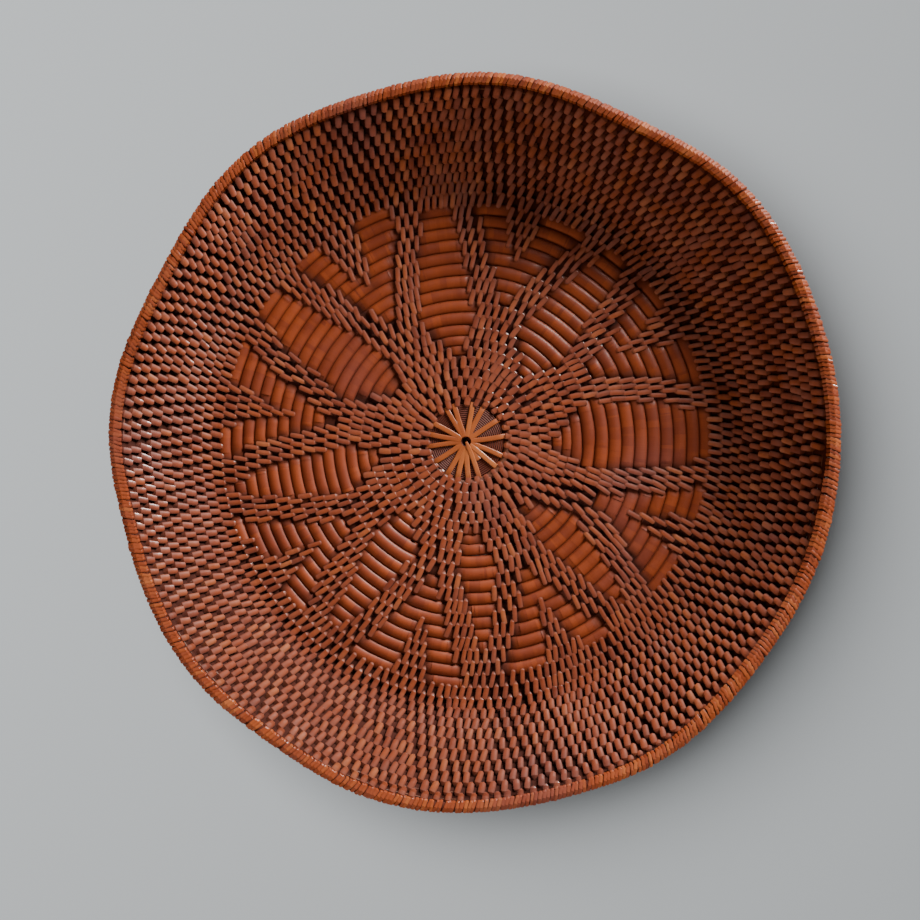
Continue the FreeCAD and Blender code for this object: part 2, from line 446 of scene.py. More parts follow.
@dataclass(frozen=True)
class CaneFinish:
    """Lacquered cane: how it is stained, how glossy it is and how its fibres stand."""

    name: str
    dark: Color = Shade.OXBLOOD.value
    middle: Color = Shade.CHESTNUT.value
    light: Color = Shade.AMBER.value
    roughness: float = 0.36
    coat: float = 0.30
    coat_roughness: float = 0.22
    coat_index: float = 1.5
    specular: float = 0.38
    fibre_along: float = 3.0
    fibre_across: float = 40.0
    fibre_depth: float = 0.00006
    by_map: bool = True

    def material(self, shared: SharedEffects) -> bpy.types.Material:
        """Builds the finish.

        Args:
            shared: The node groups that all finishes use.

        Returns:
            The material.
        """
        made = bpy.data.materials.new(self.name)
        made.use_nodes = True
        tree = made.node_tree
        shader = tree.nodes["Principled BSDF"]
        shader.inputs["Specular IOR Level"].default_value = self.specular
        shader.inputs["Coat IOR"].default_value = self.coat_index
        where = add(tree, "ShaderNodeTexCoord")
        tone = add(tree, "ShaderNodeAttribute", attribute_name="tone")
        depth = add(tree, "ShaderNodeAttribute", attribute_name="depth")
        stain_and_shade = add(tree, "ShaderNodeGroup", node_tree=shared.stain_and_shade)
        for label, value in (("Dark", self.dark), ("Middle", self.middle), ("Light", self.light)):
            stain_and_shade.inputs[label].default_value = value
        fibre = add(tree, "ShaderNodeGroup", node_tree=shared.fibre)
        fibre.inputs["Along"].default_value = self.fibre_along
        fibre.inputs["Across"].default_value = self.fibre_across
        tree.links.new(where.outputs["UV" if self.by_map else "Object"], fibre.inputs["Vector"])
        # Where the strip's map is used, the depth attribute is painted shade: it darkens the colour towards
        # near-black, and it also takes off coat and adds roughness.
        if self.by_map:
            tree.links.new(tone.outputs["Fac"], stain_and_shade.inputs["Tone"])
            tree.links.new(depth.outputs["Fac"], stain_and_shade.inputs["Depth"])
        grain = ramp(tree, fibre.outputs["Height"], 0.30, 0.70)
        streak = math_node(tree, "MULTIPLY", grain, 0.22)
        color = blend(tree, streak, stain_and_shade.outputs["Color"], Shade.OXBLOOD.value)
        tree.links.new(color, shader.inputs["Base Color"])
        rough = math_node(tree, "ADD", math_node(tree, "MULTIPLY", grain, 0.14), self.roughness - 0.07)
        worn = ramp(tree, stain_and_shade.outputs["Patch"], 0.25, 0.75)
        coated = math_node(tree, "MULTIPLY", worn, self.coat)
        if self.by_map:
            sunk = ramp(tree, depth.outputs["Fac"], 0.1, 0.8)
            rough = math_node(tree, "ADD", rough, math_node(tree, "MULTIPLY", sunk, 0.5))
            coated = math_node(tree, "MULTIPLY", coated, math_node(tree, "SUBTRACT", 1.0, sunk))
        tree.links.new(rough, shader.inputs["Roughness"])
        tree.links.new(coated, shader.inputs["Coat Weight"])
        shader.inputs["Coat Roughness"].default_value = self.coat_roughness
        bump = add(tree, "ShaderNodeBump")
        bump.inputs["Strength"].default_value = 0.8
        bump.inputs["Distance"].default_value = self.fibre_depth
        tree.links.new(fibre.outputs["Height"], bump.inputs["Height"])
        tree.links.new(bump.outputs["Normal"], shader.inputs["Normal"])
        return made


@dataclass(frozen=True)
class HubLining:
    """The dark fine-wound backing of the hub, with close rings round its middle."""

    name: str = "hub_lining"
    ring_gap: float = 1.0 * MM

    def material(self, shared: SharedEffects) -> bpy.types.Material:
        """Builds the finish.

        Args:
            shared: The node groups that all finishes use.

        Returns:
            The material.
        """
        made = bpy.data.materials.new(self.name)
        made.use_nodes = True
        tree = made.node_tree
        shader = tree.nodes["Principled BSDF"]
        where = add(tree, "ShaderNodeTexCoord")
        rings = add(tree, "ShaderNodeTexWave", wave_type="RINGS", rings_direction="Z")
        rings.inputs["Scale"].default_value = 1.0 / self.ring_gap / math.tau * 2
        rings.inputs["Distortion"].default_value = 1.2
        tree.links.new(where.outputs["Object"], rings.inputs["Vector"])
        stain_and_shade = add(tree, "ShaderNodeGroup", node_tree=shared.stain_and_shade)
        stain_and_shade.inputs["Tone"].default_value = 0.0
        stain_and_shade.inputs["Depth"].default_value = 0.30
        color = blend(tree, rings.outputs["Fac"], (0.030, 0.007, 0.004, 1.0), stain_and_shade.outputs["Color"])
        tree.links.new(color, shader.inputs["Base Color"])
        shader.inputs["Roughness"].default_value = 0.65
        shader.inputs["Specular IOR Level"].default_value = 0.25
        bump = add(tree, "ShaderNodeBump")
        bump.inputs["Distance"].default_value = 0.0003
        tree.links.new(rings.outputs["Fac"], bump.inputs["Height"])
        tree.links.new(bump.outputs["Normal"], shader.inputs["Normal"])
        return made


@dataclass
class Finishes:
    """Every finish of the tray, made once."""

    shared: SharedEffects = field(default_factory=SharedEffects)

    def __post_init__(self) -> None:
        """Builds the materials."""
        self.wrap = CaneFinish(
            "wrapped_coil", coat=0.10, roughness=0.50, specular=0.22, fibre_along=14.0, fibre_across=1.2
        ).material(self.shared)
        self.stitch = CaneFinish("sewing_cane", coat=1.0, coat_roughness=0.28, coat_index=1.85, roughness=0.46,
                                 fibre_along=1.5).material(self.shared)
        self.spoke = CaneFinish(
            "hub_strip", dark=(0.17, 0.036, 0.010, 1.0), middle=(0.26, 0.066, 0.017, 1.0),
            light=(0.36, 0.108, 0.030, 1.0), roughness=0.36
        ).material(self.shared)
        self.rim = CaneFinish("rim_cane", coat=1.0, coat_roughness=0.20, coat_index=1.85, roughness=0.34,
                              fibre_along=1.5).material(self.shared)
        # The core cane is painted near-black, so that where it shows between turns it reads as shade.
        self.core = CaneFinish(
            "core_cane_painted_dark", dark=Shade.PAINTED_SHADE.value, middle=Shade.SHADED_CORE.value, coat=0.0, roughness=0.6, by_map=False,
            fibre_along=60.0, fibre_across=60.0,
        ).material(self.shared)
        self.lining = HubLining().material(self.shared)


# ---------------------------------------------------------------- modelling by hand


def begin() -> None:
    """Deselects everything, so that an operator touches only the new piece."""
    bpy.ops.object.select_all(action="DESELECT")


def select_verts(obj: bpy.types.Object, test: Callable[[object], bool]) -> None:
    """Selects corners by their place, in edit mode.

    Args:
        obj: The piece in edit mode.
        test: Says of a corner's place whether it is selected.
    """
    bpy.ops.mesh.select_mode(type="VERT")
    bpy.ops.mesh.select_all(action="DESELECT")
    bpy.ops.object.mode_set(mode="OBJECT")
    for v in obj.data.vertices:
        v.select = bool(test(v.co))
    bpy.ops.object.mode_set(mode="EDIT")


@dataclass
class Pattern:
    """A shape modelled once, as plain arrays, to be copied along the work."""

    corners: np.ndarray
    faces: list[tuple[int, ...]]

    @classmethod
    def taken_from(cls, obj: bpy.types.Object) -> "Pattern":
        """Takes the shape of a modelled object, and removes the object.

        Args:
            obj: The object.

        Returns:
            Its pattern.
        """
        co = np.empty(len(obj.data.vertices) * 3)
        obj.data.vertices.foreach_get("co", co)
        faces = [tuple(p.vertices) for p in obj.data.polygons]
        mesh = obj.data
        bpy.data.objects.remove(obj)
        bpy.data.meshes.remove(mesh)
        return cls(co.reshape(-1, 3), faces)


def model_strip(sides: int, lengths: int, tip: float) -> Pattern:
    """Models a straight strip that stands on its end, one ring of corners to each step of height.

    Args:
        sides: Corners round the strip.
        lengths: How many steps long it is.
        tip: Size of its two ends against its middle.

    Returns:
        The strip, a step long for each unit of z, with closed ends.
    """
    begin()
    bpy.ops.mesh.primitive_cylinder_add(vertices=sides, radius=1.0, depth=1.0, location=(0, 0, 0.5))
    obj = bpy.context.object
    bpy.ops.object.mode_set(mode="EDIT")
    bpy.ops.mesh.select_mode(type="FACE")
    bpy.ops.mesh.select_all(action="DESELECT")
    bpy.ops.object.mode_set(mode="OBJECT")
    for p in obj.data.polygons:
        p.select = p.normal.z > 0.9
    bpy.ops.object.mode_set(mode="EDIT")
    for _ in range(lengths - 1):
        bpy.ops.mesh.extrude_region_move(TRANSFORM_OT_translate={"value": (0, 0, 1)})
    for end in (0.0, float(lengths)):
        select_verts(obj, lambda co, end=end: abs(co.z - end) < 0.1)
        bpy.ops.transform.resize(value=(tip, tip, 1.0), center_override=(0, 0, end))
    bpy.ops.mesh.select_all(action="SELECT")
    bpy.ops.mesh.normals_make_consistent(inside=False)
    bpy.ops.object.mode_set(mode="OBJECT")
    obj.location = (0, 0, 0)
    return Pattern.taken_from(obj)


def sew(
    name: str,
    pattern: Pattern,
    places: np.ndarray,
    maps: np.ndarray,
    tone: np.ndarray,
    depth: np.ndarray,
    material: bpy.types.Material,
    stands_for: tuple[str, ...],
    angle: float = 60.0,
) -> bpy.types.Object:
    """Makes one piece from many copies of a pattern.

    Args:
        name: The piece's name.
        pattern: The shape that was modelled once.
        places: Copy by corner by x, y, z.
        maps: Copy by corner by the two numbers of the strip's own map.
        tone: One tone for each copy.
        depth: Painted shade on each copy or each of its corners, 0 to 1, which darkens its colour.
        material: Its finish.
        stands_for: CAD nodes that this piece stands for.
        angle: Edges sharper than this stay crisp, in degrees.

    Returns:
        The finished piece.
    """
    copies, corners = places.shape[:2]
    faces = [tuple(i + c * corners for i in f) for c in range(copies) for f in pattern.faces]
    mesh = bpy.data.meshes.new(name)
    mesh.from_pydata(places.reshape(-1, 3).tolist(), [], faces)
    mesh.update()
    loops = np.empty(len(mesh.loops), int)
    mesh.loops.foreach_get("vertex_index", loops)
    layer = mesh.uv_layers.new(name="StripMap")
    layer.data.foreach_set("uv", maps.reshape(-1, 2)[loops].ravel())
    for label, values in (("tone", tone), ("depth", depth)):
        mark = mesh.attributes.new(label, "FLOAT", "POINT")
        mark.data.foreach_set("value", np.broadcast_to(values.reshape(copies, -1), (copies, corners)).ravel())
    mesh.polygons.foreach_set("use_smooth", [True] * len(mesh.polygons))
    mesh.materials.append(material)
    obj = bpy.data.objects.new(name, mesh)
    bpy.context.collection.objects.link(obj)
    begin()
    obj.select_set(True)
    bpy.context.view_layer.objects.active = obj
    bpy.ops.object.mode_set(mode="EDIT")
    bpy.ops.mesh.select_all(action="SELECT")
    bpy.ops.mesh.normals_make_consistent(inside=False)
    bpy.ops.object.mode_set(mode="OBJECT")
    bpy.ops.object.shade_smooth_by_angle(angle=math.radians(angle))
    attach(obj, BODY)
    if stands_for:
        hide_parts(*stands_for)
    LOG.info("%s: %d copies, %d faces", name, copies, len(mesh.polygons))
    return obj


# ---------------------------------------------------------------- where it is sewn


@dataclass
class StarPlan:
    """Which parts of the floor are covered with stitches: eight branching rays and eight wedges."""

    tips: tuple[float, ...] = (29.5, 75.0, 122.0, 171.0, 214.5, 256.5, 295.0, 336.5)
    arm_half: float = 6.9 * MM
    solid_inside: float = 40 * MM
    fork: float = 62.5 * MM
    wall_from: float = 121 * MM
    wedge_from: float = 88 * MM
    wedge_half: float = 10.5 * MM
    twist: float = 4.0
    ray_half: float = 10.0

    def side_angle(self, reach: np.ndarray, side: int) -> np.ndarray:
        """Finds how far a ray's arm has turned from its wedge's middle line.

        Args:
            reach: Distance from the hub's axis.
            side: -1 or 1, for the arm on either side.

        Returns:
            The turn in degrees.
        """
        wide = 19.0 if side < 0 else 16.0
        stops = (50 * MM, self.fork, 75 * MM, 120 * MM, 130 * MM)
        return side * np.interp(reach, stops, (0.0, 3.5, 8.5, wide, wide + 1.0))

    def sewn(self, reach: np.ndarray, degrees: np.ndarray) -> np.ndarray:
        """Finds whether stitches cover a place on the floor or wall.

        Args:
            reach: Distance from the hub's axis.
            degrees: Direction from the hub's axis.

        Returns:
            True where stitches cover it.
        """
        reach, degrees = np.asarray(reach), np.asarray(degrees) % 360
        covered = (reach < self.solid_inside) | (reach > self.wall_from)
        for tip in self.tips:
            for side in (-1, 1):
                off = (degrees - tip - self.side_angle(reach, side) + 180) % 360 - 180
                arm = np.abs(np.radians(off)) * reach < self.arm_half
                covered |= arm & (reach >= self.fork * 0.9)
            off = (degrees - tip + 180) % 360 - 180
            share = np.clip((reach - self.wedge_from) / (self.wall_from - self.wedge_from), 0, 1)
            covered |= (np.abs(np.radians(off)) * reach < share * self.wedge_half) & (share > 0)
        starts, ends = self.tips, self.tips[1:] + (self.tips[0] + 360,)
        inner_zone = (reach >= self.solid_inside) & (reach < self.fork)
        open_wedge = np.zeros_like(covered)
        for a, b in zip(starts, ends):
            middle = (a + b) / 2 - self.twist * (self.fork - reach) / (self.fork - self.solid_inside)
            off = (degrees - middle + 180) % 360 - 180
            half = ((b - a) / 2 - self.ray_half) * (reach - self.solid_inside) / (self.fork - self.solid_inside)
            open_wedge |= np.abs(off) < half
        return covered | (inner_zone & ~open_wedge)


@dataclass
class Coil:
    """The bound coil: its foundation, the wrapping of each turn and the stitches between turns."""

    route: CoilRoute
    plan: StarPlan
    finishes: Finishes
    # the wrapping, with sizes as shares of the pitch
    half_width: float = 0.535
    half_height: float = 0.37
    sunk_share: float = 0.42
    corner: float = 2.9
    wrap_lengths: tuple[float, ...] = (1.8, 2.4, 3.4, 5.0, 8.0)
    fewest_wraps: int = 14
    shortest_wrap: float = 0.002
    edge_blur: float = 2.2 * MM
    widened_from: float = 27.2
    widened_by: float = 0.2
    # the core inside it
    core_share: float = 0.09
    # how stitches follow one another, with their spacing in millimetres by turn
    first_stitch: float = -0.62
    first_stitches: float = 26.5
    stagger: float = 0.5
    stitch_length: float = 1.42
    spacing_at: tuple[float, ...] = (0.0, 1.0, 3.0, 4.0, 9.0, 13.0, 17.0, 20.0, 23.5, 24.3, 29.0)
    spacing: tuple[float, ...] = (4.3, 4.5, 5.0, 4.4, 4.4, 4.15, 4.1, 4.6, 5.2, 4.85, 5.5)
    smoothed_back: int = 3
    smoothed_on: int = 4
    crowding: float = 0.75
    hold: float = 0.6
    memory: float = 0.85
    patience: tuple[float, float] = (0.45, 0.9)
    most_credit: float = -0.3
    # how far stitches lean, by distance from the hub's axis
    lean_at: tuple[float, ...] = (0.020, 0.036, 0.062, 0.090, 0.120, 0.140, 0.170)
    lean: tuple[float, ...] = (0.16, 0.14, 0.14, 0.18, 0.20, 0.22, 0.22)
    # the shape of one stitch, from its inner end over the work and back below it
    stitch_across: tuple[float, ...] = (
        -1.02, -0.95, -0.80, -0.58, -0.33, 0.0, 0.24, 0.42, 0.42, 0.20, -0.40, -0.89, -1.02)
    stitch_height: tuple[float, ...] = (
        0.30, 0.92, 1.06, 0.98, 1.02, 1.10, 0.98, 0.45, -0.45, -1.04, -1.0, -1.0, -0.30)
    taper: tuple[float, ...] = (0.60, 0.80, 0.96, 1.0, 1.0, 1.0, 0.97, 0.82, 0.70, 0.75, 0.80, 0.70, 0.55)
    # painted shade along the stitch, ring by ring: darkest where its ends dive into the work and where it runs below
    # it
    shaded: tuple[float, ...] = (0.95, 0.40, 0.04, 0.0, 0.0, 0.08, 0.35, 0.75, 0.85, 0.85, 0.85, 0.90, 0.95)
    stitch_width: float = 0.285
    wider_on_wall: float = 0.02
    wider_at_hub: float = 0.035
    stitch_thickness: float = 0.62 * MM
    thicker_on_wall: float = 0.38 * MM
    thicker_within: tuple[float, float] = (8, 1.05)
    wall_shorter: float = 0.18
    wall_blend: tuple[float, float] = (17.0, 3.0)
    hub_blend: tuple[float, float] = (5.0, 5.0)
    hub_edge: float = 17.4 * MM
    first_room: float = 1.1 * 4.86 * MM
    stitches: np.ndarray = field(init=False)

    def __post_init__(self) -> None:
        """Places the stitches."""
        self.stitches = self.place_stitches()

    def place_stitches(self) -> np.ndarray:
        """Places each stitch between two of the turn inside it, with one more where room has grown.

        Returns:
            Travel of every stitch of the whole coil, covered or not.
        """
        rng = random.Random(SEED)
        made = [self.first_stitch + k / self.first_stitches for k in range(int(self.first_stitches) + 2)]
        place, sparse, crowded = 0.0, 0.0, 0
        while made[-1] < self.route.end() - 0.01:
            here = made[-1]
            reach = float(self.route.reach_at(here))
            share = self.stagger + self.stitch_length * float(np.interp(reach, self.lean_at, self.lean))
            step = self.crowding if crowded else 1.0
            crowded = max(0, crowded - 1)
            place += step
            spot = max(place - share + 1, 0.0)
            low = min(int(spot), len(made) - 2)
            locked = made[low] + (made[low + 1] - made[low]) * (spot - low) + 1
            first, last = max(low - self.smoothed_back, 0), min(low + self.smoothed_on, len(made) - 1)
            room = (made[last] - made[first]) / (last - first) * step
            made.append(here + room + self.hold * (locked - here - room))
            wanted = float(np.interp(here, self.spacing_at, self.spacing)) * MM
            sparse = max(self.memory * sparse + room / step * math.tau * reach / wanted - 1, self.most_credit)
            if sparse > rng.uniform(*self.patience) and not crowded:
                crowded, sparse = round(1 / (1 - self.crowding)), 0.0
        return np.array(made)

    def dress_turn(self, turn: int, node: str) -> None:
        """Builds the wrapping and the stitches of one turn.

        Args:
            turn: Which turn; the thin start of the coil is -1 and its first full turn 0.
            node: The CAD node that they stand for.
        """
        label = node.replace("_binding", "")
        self.wrap_turn(turn, label, node)
        self.stitch_turn(turn, label, node)

    def wrap_turn(self, turn: int, label: str, node: str) -> None:
        """Builds the flat strips that wrap one turn, end to end along it.

        Args:
            turn: Which turn.
            label: What the piece's name starts with.
            node: The CAD node that the piece stands for.
        """
        rng = random.Random(SEED + 1 + turn)
        last = min(turn + 1.0, self.route.end())
        edges = [max(float(turn), float(self.route.travel[0]))]
        while edges[-1] < last:
            room = math.tau * float(self.route.reach_at(edges[-1]))
            length = rng.choice(self.wrap_lengths) * rng.uniform(0.8, 1.2) * MM
            length = min(length, room / self.fewest_wraps)
            edges.append(min(last, edges[-1] + length / room))
        if len(edges) > 2 and edges[-1] - edges[-2] < self.shortest_wrap:
            edges.pop(-2)
        pattern = self.band_pattern()
        steps = round(pattern.corners[:, 2].max())
        start, stop = np.array(edges[:-1]), np.array(edges[1:])
        share = pattern.corners[:, 2] / steps
        t = start[:, None] + (stop - start)[:, None] * share
        along, across, up, pitch = self.route.frame_at(t)
        reach = self.route.reach_at(t)
        covered = np.zeros(t.shape)
        shifts = (-1.0, -0.5, 0.0, 0.5, 1.0)
        for shift in shifts:
            move = shift * self.edge_blur / (math.tau * reach)
            covered += self.plan.sewn(reach, (t + move) * 360) / len(shifts)
        thin = self.route.fullness(t, pitch, 0.1)
        side, top = pattern.corners[:, 0], pattern.corners[:, 1]
        size = np.hypot(side, top)
        turned = np.arctan2(top, side)
        cornered = np.abs(np.cos(turned)) ** self.corner + np.abs(np.sin(turned)) ** self.corner
        squared = size / cornered ** (1 / self.corner)
        proud = np.array([rng.uniform(0.97, 1.03) for _ in start])[:, None]
        spread = self.half_width * (1 + self.widened_by * ease((t - self.widened_from) / 0.6))
        wide = squared * np.cos(turned) * spread * pitch * thin
        tall = squared * np.sin(turned) * self.half_height * pitch * thin * proud
        tall = tall * (1 - (1 - self.sunk_share) * ease(covered))
        places = self.route.place(t) + across * wide[..., None] + up * tall[..., None]
        run = t * reach * math.tau / MM / 10 + turn * 7.3
        mapped = np.stack([run, np.broadcast_to(turned / math.tau * 2, t.shape)], -1)
        tone = np.array([rng.triangular(0.0, 0.46, 0.08) for _ in start])
        # Painted shade: each wrap darkens towards its sides, in the valleys between turns, and all over where
        # stitches cover the turn, so that the gaps between stitches read dark.
        valley_shade = 0.92 * (1 - ease(np.abs(np.sin(turned)) / 0.62))
        depth = np.maximum(ease(covered) * 0.97, valley_shade[None, :])
        # The thin start of the coil gets full painted shade and the darkest tone.
        if turn < 0:
            depth = np.full(depth.shape, 1.0)
            tone = tone * 0.0
        sew(f"{label}_wrapping", pattern, places, mapped, tone, depth,
            self.finishes.wrap, (node,), 60.0)

    def stitch_turn(self, turn: int, label: str, node: str) -> None:
        """Builds the stitches that hold one turn to the turn inside it.

        Args:
            turn: Which turn.
            label: What the piece's name starts with.
            node: The CAD node that the piece stands for.
        """
        rng = np.random.default_rng(SEED * 100 + 1 + turn)
        stop = min(turn + 1.0, self.route.end() - 0.02)
        t0 = self.stitches[(self.stitches >= turn) & (self.stitches < stop)]
        t0 = t0[self.plan.sewn(self.route.reach_at(t0), t0 * 360)]
        if not len(t0):
            return
        count = len(t0)
        reach0 = self.route.reach_at(t0)
        gap = np.interp(t0, self.spacing_at, self.spacing) * MM
        t0 = t0 + rng.normal(0, 0.05, count) * gap / (math.tau * reach0)
        pattern = self.stitch_pattern()
        ring = np.round(pattern.corners[:, 2]).astype(int)
        inside = np.clip((reach0 - self.hub_edge) / self.first_room, 0.3, 1.0)[:, None] if turn < 1 else 1.0
        a = np.array(self.stitch_across)[None, :]
        on_wall = ease((t0 - self.wall_blend[0]) / self.wall_blend[1])[:, None]
        near_hub = (1 - ease((t0 - self.hub_blend[0]) / self.hub_blend[1]))[:, None]
        a = np.where(a < 0, a * inside * (1 - self.wall_shorter * on_wall), a)
        a = a * rng.uniform(0.95, 1.06, (count, 1))
        h = np.broadcast_to(np.array(self.stitch_height)[None, :], a.shape)
        h = h * rng.uniform(0.97, 1.07, (count, 1))
        slant = np.interp(reach0, self.lean_at, self.lean)[:, None] + rng.normal(0, 0.06, (count, 1))
        pitch0 = self.route.frame_at(t0)[3][:, None]
        t = t0[:, None] - slant * (a + 0.35) * pitch0 / (math.tau * reach0[:, None])
        centre, up, along, pitch, thin = self.section(t, a)
        line = centre + up * (h * self.half_height * pitch * thin)[..., None]
        heading = unit(np.gradient(line, axis=1))
        side = unit(along - heading * (along * heading).sum(-1, keepdims=True))
        out = np.cross(heading, side)
        width = (self.stitch_width + self.wider_on_wall * on_wall + self.wider_at_hub * near_hub) * gap[:, None]
        width = width * rng.uniform(0.90, 1.10, (count, 1)) * np.array(self.taper)[None, :]
        thick = (self.stitch_thickness + self.thicker_on_wall * on_wall) * rng.uniform(0.9, 1.12, (count, 1))
        thick = thick * np.where(t0[:, None] < self.thicker_within[0], self.thicker_within[1], 1.0)
        x, y = pattern.corners[:, 0], pattern.corners[:, 1]
        places = (
            line[:, ring]
            + side[:, ring] * (x * width[:, ring])[..., None]
            + out[:, ring] * (y * (thick * np.ones_like(a))[:, ring])[..., None]
        )
        run = ring[None, :] * 0.35 + t0[:, None] * 57.0
        mapped = np.stack([run, np.broadcast_to(x[None, :] * 0.1, (count, len(x)))], -1)
        tone = rng.triangular(0.0, 0.40, 0.80, count)
        # Painted shade: each stitch darkens on its sides and underside, and ring by ring where it dives into the
        # work.
        low = 0.60 * (1 - ease((y + 0.15) / 0.60))
        tucked_shade = np.array(self.shaded)[ring]
        depth = np.broadcast_to(np.maximum(low, tucked_shade), (count, len(x)))
        sew(f"{label}_stitches", pattern, places, mapped, tone, depth,
            self.finishes.stitch, (node,), 75.0)

    def section(self, t: np.ndarray, a: np.ndarray) -> tuple[np.ndarray, ...]:
        """Finds the middle of the work at a distance across it.

        Args:
            t: Travel along the coil.
            a: Distance outwards from the coil's own turn, in pitches.

        Returns:
            Points, directions up into the bowl and along the coil, pitch, and how full the coil is.
        """
        here = self.route.place(t)
        far = np.where((a < 0)[..., None], self.route.inner(t), self.route.outer(t))
        centre = here + (far - here) * np.abs(a)[..., None]
        along, _, up, pitch = self.route.frame_at(t)
        low = np.maximum(t - 1, self.route.travel[0])
        up_in = self.route.frame_at(low)[2]
        mix = np.clip(-a, 0, 1)[..., None]
        up = unit(up * (1 - mix) + up_in * mix)
        thin = self.route.fullness(t, pitch, 0.25)
        thin = np.where(a < -0.5, 1.0, thin)
        return centre, up, along, pitch, thin

    def band_pattern(self) -> Pattern:
        """Returns one wrap: a short ten-sided tube, a little drawn in at both ends."""
        return model_strip(10, 3, 0.972)

    def stitch_pattern(self) -> Pattern:
        """Models one stitch as a straight strip.

        Returns:
            The strip, rounded on top and flat below, with a ring for each step of its shape.
        """
        strip = model_strip(6, len(self.stitch_across) - 1, 0.55)
        x, y = strip.corners[:, 0], strip.corners[:, 1]
        turned = np.arctan2(y, x) + math.pi / 6
        size = np.hypot(x, y)
        strip.corners[:, 0] = size * np.sign(np.cos(turned)) * np.abs(np.cos(turned)) ** 0.95
        low = np.sin(turned) < -0.1
        strip.corners[:, 1] = np.where(low, -0.5, 1.0) * size * np.abs(np.sin(turned))
        return strip

    def foundation(self) -> None:
        """Builds the cane inside the wrapping as one rod for each foundation node past the start."""
        sides, lengths, rods_to_a_turn = 6, 12, 4
        pattern = model_strip(sides, lengths, 1.0)
        spans = (
            ("foundation_cane_inner", 0.0, 8.0),
            ("foundation_cane_outer", 8.0, 18.0),
            ("foundation_cane_wall", 18.0, self.route.end()),
        )
        for node, start, stop in spans:
            count = round((stop - start) * rods_to_a_turn)
            at = np.linspace(start, stop, count + 1)
            share = pattern.corners[:, 2] / lengths
            t = at[:-1, None] + np.diff(at)[:, None] * share
            _, across, up, pitch = self.route.frame_at(t)
            thin = self.route.fullness(t, pitch, 0.1)
            places = (
                self.route.place(t)
                + across * (pattern.corners[:, 0] * self.core_share * pitch * thin)[..., None]
                + up * (pattern.corners[:, 1] * self.core_share * pitch * thin)[..., None]
            )
            maps = np.stack([t * 50, np.broadcast_to(pattern.corners[:, 0], t.shape)], -1)
            flat = np.zeros(count)
            sew(node + "_rod", pattern, places, maps, flat, flat, self.finishes.core, (node,))


